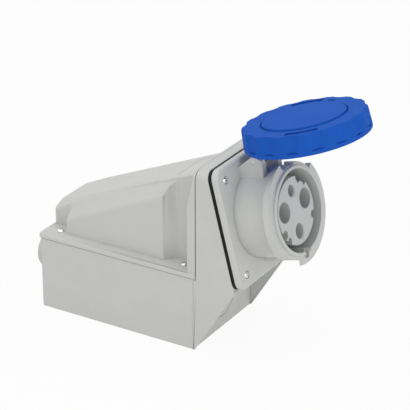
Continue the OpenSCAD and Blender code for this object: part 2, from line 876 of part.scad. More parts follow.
module contact_retainer() {
    color(CORE_GREY)
        at_socket() translate([0, 0, carrier_back - retainer_t])
        difference() {
            cylinder(r = core_r, h = retainer_t, $fn = 128);
            for (i = [0:3])
                at_contact(i) translate([0, 0, -cut])
                cylinder(r = contact_bores[i] / 2 + sleeve_t + fit_gap, h = retainer_t + 2 * cut);
        }
}

module carrier_screws() {
    carrier_head_h = 2;
    color(STEEL)
        at_socket() carrier_screw_places()
        translate([0, 0, flange_back - carrier_plate_t]) {
            cylinder(d = carrier_screw_d, h = carrier_plate_t + flange_t - cut);
            translate([0, 0, -carrier_head_h]) cylinder(r = carrier_screw_d * 0.9, h = carrier_head_h);
        }
}

// Contact sleeve, slit at its mouth, with a terminal for the wire at its back
spring_h = 2;
spring_t = 0.7;
spring_back = 5;
wire_share = 0.62;
wire_depth = 13;
sleeve_floor = -10;
slit_floor = 6;
slit_w = 1;
terminal_screw_d = 3.2;
terminal_screw_z = terminal_back + 6;
module contact(i) {
    bore_r = contact_bores[i] / 2;
    out_r = bore_r + sleeve_t;
    color(BRASS)
        at_socket() at_contact(i)
        difference() {
            translate([0, 0, terminal_back]) cylinder(r = out_r, h = sleeve_front - terminal_back);
            translate([0, 0, sleeve_floor]) cylinder(r = bore_r, h = sleeve_front - sleeve_floor + cut);
            translate([0, 0, terminal_back - cut]) cylinder(r = out_r * wire_share, h = wire_depth + cut);
            for (a = [0, 90])
                rotate([0, 0, a])
                    translate([-out_r - cut, -slit_w / 2, slit_floor])
                        cube([2 * out_r + 2 * cut, slit_w, sleeve_front]);
            translate([0, 0, terminal_screw_z]) rotate([0, 90, 0])
                cylinder(r = terminal_screw_d / 2 + fit_gap, h = out_r + cut);
            translate([0, 0, sleeve_front - spring_back])
                difference() {
                    cylinder(r = out_r + cut, h = spring_h + 2 * fit_gap);
                    translate([0, 0, -cut]) cylinder(r = out_r - spring_t, h = spring_h + 3 * cut);
                }
        }
}

module contact_line() { contact(0); }
module contact_neutral() { contact(1); }
module contact_earth() { contact(2); }
module contact_pilot() { contact(3); }

module contact_springs() {
    color(STEEL)
        at_socket() for (i = [0:3]) {
            out_r = contact_bores[i] / 2 + sleeve_t;
            at_contact(i) translate([0, 0, sleeve_front - spring_back + fit_gap])
                difference() {
                    cylinder(r = out_r + fit_gap, h = spring_h);
                    translate([0, 0, -cut]) cylinder(r = out_r - spring_t + pin_gap, h = spring_h + 2 * cut);
                }
        }
}

module terminal_screws() {
    screw_proud = 2.4;
    color(STEEL)
        at_socket() for (i = [0:3]) {
            out_r = contact_bores[i] / 2 + sleeve_t;
            at_contact(i) translate([out_r * wire_share, 0, terminal_screw_z]) rotate([0, 90, 0])
                cylinder(d = terminal_screw_d, h = out_r * (1 - wire_share) + screw_proud);
        }
}

module hinge_pin() {
    color(STEEL)
        at_socket() translate([pin_up, 0, pin_axial]) rotate([90, 0, 0])
        cylinder(d = pin_d, h = ear_gap + 2 * ear_t, center = true);
}

// Gland pieces along the gland's own axis, which points out of the end wall
washer_t = 2;
hex_t = 6;
gland_bore_r = cable_d / 2 + 1.5;
gland_neck_r = gland_d / 2 - 1;
gland_neck = 12;
locknut_t = 6;
gland_tail = wall + locknut_t + 3;

module gland_washer() {
    color(RUBBER)
        at_gland() difference() {
            cylinder(r = gland_nut_d / 2, h = washer_t);
            translate([0, 0, -cut]) cylinder(r = gland_d / 2 + fit_gap, h = washer_t + 2 * cut);
        }
}

module gland_body() {
    color(GREY)
        at_gland() difference() {
            union() {
                translate([0, 0, -gland_tail]) cylinder(r = gland_d / 2, h = gland_tail + washer_t);
                translate([0, 0, washer_t]) cylinder(r = gland_nut_d / 2, h = hex_t, $fn = 6);
                translate([0, 0, washer_t]) cylinder(r = gland_neck_r, h = hex_t + gland_neck);
            }
            translate([0, 0, -gland_tail - cut])
                cylinder(r = gland_bore_r, h = gland_tail + washer_t + hex_t + gland_neck + 2 * cut);
        }
}

module gland_seal() {
    seat = washer_t + hex_t + gland_neck;
    color(RUBBER)
        at_gland() translate([0, 0, seat])
        difference() {
            cylinder(r = gland_neck_r - 1, h = gland_reach - seat - wall);
            translate([0, 0, -cut]) cylinder(d = cable_d, h = gland_reach);
        }
}

module gland_nut() {
    start = washer_t + hex_t;
    seat = start + gland_neck;
    dome = 4;
    nut_r = gland_nut_d / 2;
    round_end = [for (a = [0:15:90]) [nut_r - dome + dome * cos(a), gland_reach - dome + dome * sin(a)]];
    color(GREY)
        at_gland() rotate_extrude()
        polygon(concat([[gland_neck_r + fit_gap, start], [nut_r, start]], round_end,
            [[gland_bore_r, gland_reach], [gland_bore_r, gland_reach - wall],
            [gland_neck_r - 1 + fit_gap, gland_reach - wall], [gland_neck_r - 1 + fit_gap, seat + fit_gap],
            [gland_neck_r + fit_gap, seat + fit_gap]]));
}

module gland_locknut() {
    color(GREY)
        at_gland() translate([0, 0, -wall - locknut_t])
        difference() {
            cylinder(r = gland_nut_d / 2 + 1, h = locknut_t, $fn = 6);
            translate([0, 0, -cut]) cylinder(r = gland_d / 2 + fit_gap, h = locknut_t + 2 * cut);
        }
}

// Lid cap: plate under the ring's top, raised disc through it, arm and eye at the hinge
arm_w = 18;
arm_t = 4;
arm_x = band_r + arm_clear;
eye_r = 5.2;
disc_edge = 0.8;
crown = 0.4;
crown_r = 6;
module lid_cap() {
    disc_top = ring_h + disc_h;
    color(BLUE)
        at_lid()
        difference() {
            union() {
                rotate_extrude($fn = 128)
                    polygon([[0, plate_bottom], [ring_in_r - turn_gap, plate_bottom], [ring_in_r - turn_gap, plate_top],
                        [disc_r, plate_top], [disc_r, disc_top - disc_edge], [disc_r - disc_edge, disc_top],
                        [crown_r, disc_top + crown], [0, disc_top + crown]]);
                translate([-arm_x - arm_t, -arm_w / 2, eye_z]) cube([arm_t, arm_w, plate_bottom - eye_z + cut]);
                translate([eye_x, 0, eye_z]) rotate([90, 0, 0])
                    cylinder(r = eye_r, h = ear_gap - 2 * turn_gap, center = true);
            }
            // Hollow under the raised disc
            translate([0, 0, plate_bottom - cut])
                cylinder(r = disc_r - wall, h = disc_top - plate_bottom - wall + cut, $fn = 128);
            translate([0, 0, plate_bottom - cut])
                difference() {
                    cylinder(r = seal_out_r, h = seal_depth + cut, $fn = 128);
                    translate([0, 0, -cut]) cylinder(r = seal_in_r, h = seal_depth + 3 * cut, $fn = 128);
                }
            translate([eye_x, 0, eye_z]) rotate([90, 0, 0])
                cylinder(r = pin_d / 2 + pin_gap, h = ear_gap + 2 * cut, center = true);
        }
}

module lid_seal() {
    color(RUBBER)
        at_lid() translate([0, 0, seal_face])
        difference() {
            cylinder(r = seal_out_r - fit_gap, h = plate_bottom + seal_depth - seal_face, $fn = 128);
            translate([0, 0, -cut]) cylinder(r = seal_in_r + fit_gap, h = plate_t + 3 * cut, $fn = 128);
        }
}

// Turning ring: fluted skirt, top with slots, bead under the cap's plate, two inner lugs
bead_h = 0.8;
bead_reach = 1;
ring_edge = 1;
mouth_edge = 0.6;
slot_w = 2;
slot_span = 34;
slot_angle = 115.5;
slot_in = 1.8;
short_slot_span = 10;
short_slot_angle = 85;
short_slot_in = 6.3;
module ring_slot(angle, span, r) {
    rotate([0, 0, angle - span / 2])
        translate([0, 0, ring_h - ring_top_t - cut])
        rotate_extrude(angle = span, $fn = 128)
        translate([r - slot_w / 2, 0]) square([slot_w, ring_top_t + 2 * cut]);
}

// One grip flute: a round cut that leans in towards the top, with a small pocket behind the rim at its foot
flute_r = 18;
flute_offset = 4;
foot_pocket_r = 10;
foot_pocket_h = 1.1;
foot_pocket_in = 1.1;
module flute() {
    lean = atan2(ring_r - flute_foot - ring_top_r + flute_depth, ring_h - rim_h);
    translate([ring_r + flute_r - flute_foot, 0, rim_h])
        rotate([0, -lean, 0])
        translate([0, 0, flute_r * tan(lean)]) cylinder(r = flute_r, h = 2 * ring_h);
    translate([ring_r + foot_pocket_r - flute_foot - foot_pocket_in, 0, rim_h])
        cylinder(r = foot_pocket_r, h = foot_pocket_h);
}

module bayonet_ring() {
    hole_r = disc_r + turn_gap;
    bead_top = plate_bottom - turn_gap;
    bead_r = ring_in_r - bead_reach;
    color(BLUE)
        at_lid()
        difference() {
            union() {
                rotate_extrude($fn = 128)
                    polygon([[ring_in_r, 0], [ring_r - mouth_edge, 0], [ring_r, mouth_edge], [ring_r, rim_h - mouth_edge],
                        [ring_top_r, ring_h - ring_edge], [ring_top_r - ring_edge, ring_h],
                        [hole_r, ring_h], [hole_r, ring_h - ring_top_t], [ring_in_r, ring_h - ring_top_t],
                        [ring_in_r, bead_top], [bead_r, bead_top], [bead_r, bead_top - bead_h],
                        [ring_in_r, bead_top - bead_h - bead_reach]]);
                for (a = [lug_angle, lug_angle + 180])
                    rotate([0, 0, a - lug_span / 2])
                    rotate_extrude(angle = lug_span, $fn = 128)
                    translate([lug_r, 0]) square([ring_in_r - lug_r + cut, lug_t]);
            }
            for (k = [0:flutes - 1])
                rotate([0, 0, flute_offset + (k + 0.5) * 360 / flutes]) flute();
            ring_slot(slot_angle, slot_span, ring_in_r - slot_in);
            ring_slot(slot_angle + 180, slot_span, ring_in_r - slot_in);
            ring_slot(short_slot_angle, short_slot_span, ring_in_r - short_slot_in);
        }
}

base_box();
front_wedge();
wedge_screws();
cover_hood();
cover_seal();
cover_screws();
flange_gasket();
socket_housing();
flange_screws();
contact_carrier();
contact_retainer();
carrier_screws();
contact_line();
contact_neutral();
contact_earth();
contact_pilot();
contact_springs();
terminal_screws();
hinge_pin();
gland_washer();
gland_body();
gland_seal();
gland_nut();
gland_locknut();
lid_cap();
lid_seal();
bayonet_ring();
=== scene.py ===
import bpy
import bmesh
import json
import math
from mathutils import Matrix, Vector
from mathutils.bvhtree import BVHTree
from mathutils.geometry import intersect_point_line


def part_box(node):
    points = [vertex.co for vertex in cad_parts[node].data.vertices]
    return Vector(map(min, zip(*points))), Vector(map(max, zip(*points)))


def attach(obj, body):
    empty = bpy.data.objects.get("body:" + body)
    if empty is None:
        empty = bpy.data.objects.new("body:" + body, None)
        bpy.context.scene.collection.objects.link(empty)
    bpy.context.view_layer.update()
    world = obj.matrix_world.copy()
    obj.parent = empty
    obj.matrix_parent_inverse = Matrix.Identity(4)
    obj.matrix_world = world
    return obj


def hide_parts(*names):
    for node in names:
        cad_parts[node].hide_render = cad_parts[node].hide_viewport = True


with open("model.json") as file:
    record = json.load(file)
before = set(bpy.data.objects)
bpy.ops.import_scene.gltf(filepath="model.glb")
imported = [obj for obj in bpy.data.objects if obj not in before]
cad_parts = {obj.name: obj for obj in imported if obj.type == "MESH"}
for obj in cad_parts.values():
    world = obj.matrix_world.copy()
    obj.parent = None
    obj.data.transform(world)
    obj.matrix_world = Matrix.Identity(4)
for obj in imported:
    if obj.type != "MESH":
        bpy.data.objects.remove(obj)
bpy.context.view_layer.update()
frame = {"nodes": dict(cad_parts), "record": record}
record = frame["record"]
BODY_OF = {node: body for body, nodes in record["behaviour"]["bodies"].items() for node in nodes}
SLOT_OF = {part["node"]: part["material_slot"] for part in record["subparts"]}
MM = 0.001

# View of the photograph: the camera looks at a point on the mid-plane
VIEW_AZIMUTH = math.radians(31.06)
VIEW_ELEVATION = math.radians(24.92)
VIEW_DISTANCE = 1724.5 * MM
VIEW_TARGET = Vector((64.1, 0, 118.7)) * MM
VIEW_LENS = 167.46
SENSOR_WIDTH = 36

# Soft round studio lamps: place and size in metres, power in watts
LAMP_TARGET = Vector((0.05, 0, 0.1))
LAMPS = {
    "key": ((-0.7, -1.3, 2.0), 1.4, 9.4),
    "front": ((1.9, -0.7, 0.55), 1.4, 7.6),
    "top": ((0.3, 0.2, 2.2), 1.6, 9.0),
}
WHITE = (1, 1, 1, 1)
# Strength of the white world: as light on the object, and as the background that is seen
WORLD_LIGHT = 0.68
WORLD_SEEN = 1.0
# Share of white glow in the paper floor: as light on the object, and as the floor that is seen
FLOOR_LIGHT = 0.15
FLOOR_SEEN = 0.92
FLOOR_PAPER = "EDEDED"
# Half the floor's side in metres, and how far the floor lies under the box
FLOOR_HALF = 6.0
FLOOR_DROP = 0.2 * MM

# Sizes of the patterns in the finishes, in millimetres
MOTTLE_MM = 22
PATCH_MM = 4
SPECK_MM = 0.4
# Levels of a pattern between which it goes from one end of its range to the other
MOULDING_LEVELS = (0.3, 0.7)
METAL_LEVELS = (0.35, 0.65)
# How far a pattern takes the roughness below and above its plain value
MOULDING_GLOSS = (-0.05, 0.06)
METAL_GLOSS = (-0.06, 0.1)
GRAIN_STRENGTH = 0.25

# Rounding of the outer edges of each piece, in millimetres
SOFT_EDGES = {
    "base_box": 0.9,
    "front_wedge": 0.8,
    "cover_hood": 1.6,
    "flange_gasket": 0.4,
    "contact_carrier": 0.5,
    "hinge_pin": 0.5,
    "gland_washer": 0.3,
    "gland_body": 0.5,
    "gland_nut": 0.5,
    "lid_cap": 0.6,
    "bayonet_ring": 0.5,
}
ROUNDING_STEPS = 3
# Faces that meet at more than this have a sharp edge, and a run of edges turns by less than this
SHARP = math.radians(35)
# The ring's flutes meet its skirt in shallow creases
CREASE = {"bayonet_ring": math.radians(14)}
# Points nearer than this are one point, and faces that meet at less than this are one face
MERGE = 0.005 * MM
FLAT = math.radians(0.1)
# A rounding takes at most this share of the room beside its edges
ROOM_SHARE = 0.45
# A run of edges with room for less than this share of its rounding stays sharp
LEAST_SHARE = 0.1
# A face is torn where the rounded surface strays this many roundings from the plain one,
# or the plain surface strays this many from the rounded one
STRAY_FROM_PLAIN = 0.45
STRAY_FROM_ROUNDED = 0.8
# Runs of edges that pass a torn place within this many roundings stay sharp
STRAY_REACH = 3
# Torn places are looked for in each triangle's middle, on its edges, and this far out to its corners
LOOK_OUT = 0.6

# The ring's axis points out of the lid's top
RING_JOINT = next(joint for joint in record["behaviour"]["joints"] if joint["name"] == "ring_turn")
RING_AXIS = -Vector(RING_JOINT["axis"])
RING_ORIGIN = Vector(RING_JOINT["pos_m"])
# The socket's axis points out of its mouth, and starts in the middle of the gasket plane
SOCKET_AXIS = Vector(next(mount["axis"] for mount in record["mounts"] if mount["name"] == "line_contact"))
SOCKET_ORIGIN = Vector((112.5, 0, 124)) * MM

# Finger slots in the ring's top: inner and outer radius in millimetres, middle angle and span in degrees
RING_SLOTS = ((44.2, 50.0, 115.5, 34.4), (44.2, 50.0, 295.5, 34.4), (42.6, 46.0, 85.0, 10.4))
SLOT_DEPTH = 4.0 * MM
# Shadow groove round the raised disc: inner and outer radius in millimetres
DISC_GROOVE = (36.8, 38.6)
GROOVE_DEPTH = 1.6 * MM
# How far the shapes that cut the ring stand out of its top
CUT_ABOVE = 2.0 * MM
# Web that closes the keyway's floor behind the wing: radii in millimetres, middle angle and span in degrees
KEYWAY_WEB = (42.8, 44.7, 180, 8)
# Where the web starts and ends along the socket's axis, in millimetres
KEYWAY_WEB_REACH = (43.0, 45.7)
# Degrees in one step of a curved block, and in a whole turn
ARC_STEP = 3
LEAST_ARC_STEPS = 4
WHOLE_TURN = 360

# Proportions of a domed cross-recess screw: shares of the head's radius
SCREW_HEAD_HEIGHT = 0.62
SCREW_SHANK = 0.59
RECESS_REACH = 0.6
RECESS_WIDTH = 0.2
RECESS_DEPTH = 0.3
DOME_SEGMENTS = 40
DOME_RINGS = 24
SHANK_SIDES = 32


def linear(hex_colour):
    """sRGB hex to the linear RGBA that shader sockets take."""
    out = []
    for k in (0, 2, 4):
        c = int(hex_colour[k:k + 2], 16) / 255
        out.append(c / 12.92 if c <= 0.04045 else ((c + 0.055) / 1.055) ** 2.4)
    return (*out, 1)


def add(tree, kind, inputs=None, **settings):
    """Adds a node, sets its properties and its inputs, and links the inputs that are given as sockets."""
    node = tree.nodes.new(kind)
    for key, value in settings.items():
        setattr(node, key, value)
    for key, value in (inputs or {}).items():
        if isinstance(value, bpy.types.NodeSocket):
            tree.links.new(value, node.inputs[key])
        else:
            node.inputs[key].default_value = value
    return node


def new_material(name):
    """An empty material and its node tree."""
    material = bpy.data.materials.new(name)
    material.use_nodes = True
    material.node_tree.nodes.clear()
    return material, material.node_tree


def moulding(name, colour, mottle, roughness, shine, grain_mm, grain_depth):
    """Moulded plastic or rubber: even colour with a faint mottle, and the grain of a spark-eroded mould.

    The real grain is too fine for the render, so it is drawn coarse enough to break up the gloss.
    """
    material, tree = new_material(name)
    low, high = MOULDING_LEVELS
    glossier, duller = MOULDING_GLOSS
    place = add(tree, "ShaderNodeTexCoord").outputs["Object"]
    cloud = add(tree, "ShaderNodeTexNoise", {
        "Vector": place, "Scale": 1 / (MOTTLE_MM * MM), "Detail": 3.0, "Roughness": 0.55})
    tint = add(tree, "ShaderNodeValToRGB", {"Fac": cloud.outputs["Fac"]})
    for end, level, shade in zip(tint.color_ramp.elements, (low, high), (mottle, colour)):
        end.position = level
        end.color = linear(shade)
    grain = add(tree, "ShaderNodeTexNoise", {"Vector": place, "Scale": 1 / (grain_mm * MM), "Detail": 2.0})
    gloss = add(tree, "ShaderNodeMapRange", {
        "Value": grain.outputs["Fac"], "From Min": low, "From Max": high,
        "To Min": roughness + glossier, "To Max": roughness + duller})
    bump = add(tree, "ShaderNodeBump", {
        "Height": grain.outputs["Fac"], "Strength": GRAIN_STRENGTH, "Distance": grain_depth * MM})
    shader = add(tree, "ShaderNodeBsdfPrincipled", {
        "Base Color": tint.outputs["Color"], "Roughness": gloss.outputs["Result"],
        "Normal": bump.outputs["Normal"], "IOR": 1.5, "Specular IOR Level": shine})
    add(tree, "ShaderNodeOutputMaterial", {"Surface": shader.outputs["BSDF"]})
    return material


def metal(name, colour, worn, roughness):
    """Turned metal: fine specks in the gloss, and a slightly duller tint in patches.

    The real marks of turning are too fine for the render, so the specks are drawn coarser.
    """
    material, tree = new_material(name)
    glossier, duller = METAL_GLOSS
    place = add(tree, "ShaderNodeTexCoord").outputs["Object"]
    patches = add(tree, "ShaderNodeTexNoise", {"Vector": place, "Scale": 1 / (PATCH_MM * MM), "Detail": 2.0})
    tint = add(tree, "ShaderNodeValToRGB", {"Fac": patches.outputs["Fac"]})
    for end, level, shade in zip(tint.color_ramp.elements, METAL_LEVELS, (worn, colour)):
        end.position = level
        end.color = linear(shade)
    specks = add(tree, "ShaderNodeTexNoise", {"Vector": place, "Scale": 1 / (SPECK_MM * MM), "Detail": 1.0})
    gloss = add(tree, "ShaderNodeMapRange", {
        "Value": specks.outputs["Fac"], "To Min": roughness + glossier, "To Max": roughness + duller})
    shader = add(tree, "ShaderNodeBsdfPrincipled", {
        "Base Color": tint.outputs["Color"], "Metallic": 1.0, "Roughness": gloss.outputs["Result"]})
    add(tree, "ShaderNodeOutputMaterial", {"Surface": shader.outputs["BSDF"]})
    return material


FINISHES = {
    # Light grey polyamide of the box, wedge, hood and socket: an even satin with soft highlights
    "grey_moulding": moulding(
        "grey_polyamide_moulding", "CACBC8", "C7C8C5",
        roughness=0.5, shine=0.25, grain_mm=0.7, grain_depth=0.05),
    # Grey thermoset of the contact insert: a shade darker and flatter than the housing
    "core_moulding": moulding(
        "grey_thermoset_core", "C6C8C6", "C2C4C2",
        roughness=0.54, shine=0.25, grain_mm=0.7, grain_depth=0.04),
    # Grey polyamide of the cable gland: the housing's colour, a little smoother
    "gland_plastic": moulding(
        "grey_gland_polyamide", "CACBC8", "C6C7C4",
        roughness=0.48, shine=0.25, grain_mm=0.6, grain_depth=0.03),
    # Blue polyamide of the lid and its ring: a deep colour with hardly any shine
    "blue_moulding": moulding(
        "blue_polyamide_moulding", "2059BA", "1E56B4",
        roughness=0.58, shine=0.04, grain_mm=0.7, grain_depth=0.05),
    # Black rubber of the seals: matt, with hardly a highlight
    "seal_rubber": moulding(
        "black_seal_rubber", "1A1A18", "161614",
        roughness=0.68, shine=0.2, grain_mm=0.5, grain_depth=0.06),
    # Zinc-plated steel of the screws, springs and hinge pin: bright, so that it mirrors the white room
    "bright_steel": metal("zinc_plated_steel", "F2F3F4", "E2E4E6", roughness=0.22),
    # Plain turned brass of the contact sleeves: warm yellow, a little duller than the steel
    "contact_brass": metal("turned_brass", "D6B263", "BE9A50", roughness=0.3),
}


def add_piece(name, mesh, node):
    """Puts a finished mesh in the place of a CAD node, on the same body and with the same finish."""
    piece = bpy.data.objects.new(name, mesh)
    bpy.context.scene.collection.objects.link(piece)
    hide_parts(node)
    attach(piece, BODY_OF[node])


def with_modifier(mesh, kind, **settings):
    """A plain mesh of what a modifier makes of this one."""
    shell = bpy.data.objects.new(mesh.name, mesh)
    bpy.context.scene.collection.objects.link(shell)
    modifier = shell.modifiers.new(kind.lower(), kind)
    for key, value in settings.items():
        setattr(modifier, key, value)
    out = bpy.data.meshes.new_from_object(shell.evaluated_get(bpy.context.evaluated_depsgraph_get()))
    bpy.data.objects.remove(shell)
    return out


def merged_copy(node):
    """A copy of a CAD node's mesh with its loose triangles joined."""
    bm = bmesh.new()
    bm.from_mesh(frame["nodes"][node].data)
    bmesh.ops.remove_doubles(bm, verts=bm.verts, dist=MERGE)
    mesh = bpy.data.meshes.new(node + "_merged")
    bm.to_mesh(mesh)
    bm.free()
    return mesh


def smooth_runs(edges):
    """Sorts edges into runs that keep their direction from edge to edge."""
    wanted = set(edges)
    runs = []
    for first in edges:
        if first not in wanted:
            continue
        wanted.remove(first)
        run = []
        todo = [first]
        while todo:
            edge = todo.pop()
            run.append(edge)
            for vertex in edge.verts:
                way = vertex.co - edge.other_vert(vertex).co
                for other in vertex.link_edges:
                    if other in wanted and way.angle(other.other_vert(vertex).co - vertex.co) < SHARP:
                        wanted.remove(other)
                        todo.append(other)
        runs.append(run)
    return runs


def reach_across(edge, face):
    """How far a face reaches away from one of its edges."""
    start = edge.verts[0].co
    along = (edge.verts[1].co - start).normalized()
    steps = [vertex.co - start for vertex in face.verts]
    return max((step - along * step.dot(along)).length for step in steps)


def room_for(run, edges):
    """The narrowest place beside a run: across its faces, and along the plain edges that leave it."""
    room = min(reach_across(edge, face) for edge in run for face in edge.link_faces)
    for edge in run:
        for vertex in edge.verts:
            way = (edge.other_vert(vertex).co - vertex.co).normalized()
            for other in vertex.link_edges:
                if other not in edges and set(other.link_faces) & set(edge.link_faces):
                    room = min(room, way.cross(other.other_vert(vertex).co - vertex.co).length)
    return room


def weigh_runs(bm, weight, width):
    """Gives each run of sharp outer edges as much of the rounding as it has room for."""
    edges = [e for e in bm.edges if e.is_manifold and e.is_convex and e.calc_face_angle() > SHARP]
    sharp_edges = set(edges)
    runs = []
    for run in smooth_runs(edges):
        share = min(1, ROOM_SHARE * room_for(run, sharp_edges) / width)
        if share > LEAST_SHARE:
            runs.append(run)
            for edge in run:
                edge[weight] = share
    return runs


def triangles_of(mesh):
    """The corners of a mesh's triangles."""
    mesh.calc_loop_triangles()
    return [[mesh.vertices[k].co.copy() for k in triangle.vertices] for triangle in mesh.loop_triangles]


def surface_of(triangles):
    """A tree that finds the nearest place on triangles."""
    corners = [corner for triangle in triangles for corner in triangle]
    faces = [(k, k + 1, k + 2) for k in range(0, len(corners), 3)]
    return BVHTree.FromPolygons(corners, faces, all_triangles=True)


def far_points(triangles, surface, reach):
    """Points inside triangles that lie further than a distance from a surface."""
    out = []
    for corners in triangles:
        middle = sum(corners, Vector()) / 3
        points = [middle]
        for k in range(3):
            points += [(corners[k] + corners[k - 1]) / 2, middle.lerp(corners[k], LOOK_OUT)]
        out += [point for point in points if surface.find_nearest(point)[3] > reach]
    return out


def passes(run, point, reach):
    """Whether a run of edges passes a point within a distance."""
    for edge in run:
        start, end = (vertex.co for vertex in edge.verts)
        share = min(1, max(0, intersect_point_line(point, start, end)[1]))
        if (start.lerp(end, share) - point).length < reach:
            return True
    return False


def rounded_mesh(mesh, width):
    """Rounds the sharp outer edges of a mesh, and leaves those sharp whose rounding would tear a face."""
    bm = bmesh.new()
    bm.from_mesh(mesh)
    bmesh.ops.dissolve_limit(bm, angle_limit=FLAT, verts=bm.verts, edges=bm.edges)
    weight = bm.edges.layers.float.new("bevel_weight_edge")
    runs = weigh_runs(bm, weight, width)
    bm.to_mesh(mesh)
    plain = triangles_of(mesh)
    rounded = mesh
    torn = runs
    while torn:
        bm.to_mesh(mesh)
        rounded = with_modifier(
            mesh, "BEVEL", width=width, segments=ROUNDING_STEPS, limit_method="WEIGHT",
            use_clamp_overlap=False)
        new = triangles_of(rounded)
        strays = far_points(new, surface_of(plain), STRAY_FROM_PLAIN * width)
        strays += far_points(plain, surface_of(new), STRAY_FROM_ROUNDED * width)
        torn = [run for run in runs if any(passes(run, point, STRAY_REACH * width) for point in strays)]
        for run in torn:
            runs.remove(run)
            for edge in run:
                edge[weight] = 0
    bm.free()
    return rounded


def soften(node, width, cutter=None):
    """Puts a copy of a CAD node in its place, with rounded edges that catch a thin line of light."""
    mesh = merged_copy(node)
    if cutter:
        mesh = with_modifier(mesh, "BOOLEAN", object=cutter, operation="DIFFERENCE", solver="EXACT")
    mesh = rounded_mesh(mesh, width)
    mesh.shade_smooth()
    mesh.set_sharp_from_angle(angle=CREASE.get(node, SHARP))
    mesh = with_modifier(mesh, "WEIGHTED_NORMAL", keep_sharp=True)
    mesh.materials.clear()
    mesh.materials.append(FINISHES[SLOT_OF[node]])
    add_piece(node + "_rounded", mesh, node)


def axis_frame(origin, up, side):
    """Matrix of a round piece's own frame: Z along its axis and Y along a side."""
    place = Matrix((side.cross(up), side, up)).transposed().to_4x4()
    place.translation = origin
    return place


def arc_block(bm, inner, outer, start, span, low, high):
    """Adds a curved block round the Z axis to a mesh, or a whole ring, with angles in degrees."""
    steps = max(LEAST_ARC_STEPS, round(span / ARC_STEP))
    whole = span == WHOLE_TURN
    corners = ((inner, low), (outer, low), (outer, high), (inner, high))
    slices = []
    for k in range(steps if whole else steps + 1):
        angle = math.radians(start + span * k / steps)
        way = Vector((math.cos(angle), math.sin(angle), 0))
        slices.append([bm.verts.new(way * r + Vector((0, 0, z))) for r, z in corners])
    for one, two in zip(slices, slices[1:] + slices[:1] if whole else slices[1:]):
        for k in range(len(corners)):
            bm.faces.new((one[k - 1], one[k], two[k], two[k - 1]))
    if not whole:
        bm.faces.new(slices[0])
        bm.faces.new(slices[-1])


def block_object(name, bm, place):
    """Turns the curved blocks of a mesh into an object at a round piece's place."""
    bmesh.ops.recalc_face_normals(bm, faces=bm.faces)
    bm.transform(place)
    mesh = bpy.data.meshes.new(name)
    bm.to_mesh(mesh)
    bm.free()
    block = bpy.data.objects.new(name, mesh)
    bpy.context.scene.collection.objects.link(block)
    return block


def ring_cutter():
    """What is cut out of the ring's top: the finger slots, and the groove round the raised disc."""
    place = axis_frame(RING_ORIGIN, RING_AXIS, Vector((0, 1, 0)))
    into = place.inverted()
    top = max((into @ vertex.co).z for vertex in frame["nodes"]["bayonet_ring"].data.vertices)
    bm = bmesh.new()
    for inner, outer, middle, span in RING_SLOTS:
        arc_block(bm, inner * MM, outer * MM, middle - span / 2, span, top - SLOT_DEPTH, top + CUT_ABOVE)
    inner, outer = DISC_GROOVE
    arc_block(bm, inner * MM, outer * MM, 0, WHOLE_TURN, top - GROOVE_DEPTH, top + CUT_ABOVE)
    return block_object("ring_cutter", bm, place)


def add_keyway_web():
    """Closes the floor of the socket's keyway behind the wing, as part of the grey moulding."""
    inner, outer, middle, span = KEYWAY_WEB
    low, high = KEYWAY_WEB_REACH
    bm = bmesh.new()
    arc_block(bm, inner * MM, outer * MM, middle - span / 2, span, low * MM, high * MM)
    web = block_object("keyway_web", bm, axis_frame(SOCKET_ORIGIN, SOCKET_AXIS, Vector((0, -1, 0))))
    web.data.materials.append(FINISHES[SLOT_OF["socket_housing"]])
    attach(web, BODY_OF["socket_housing"])


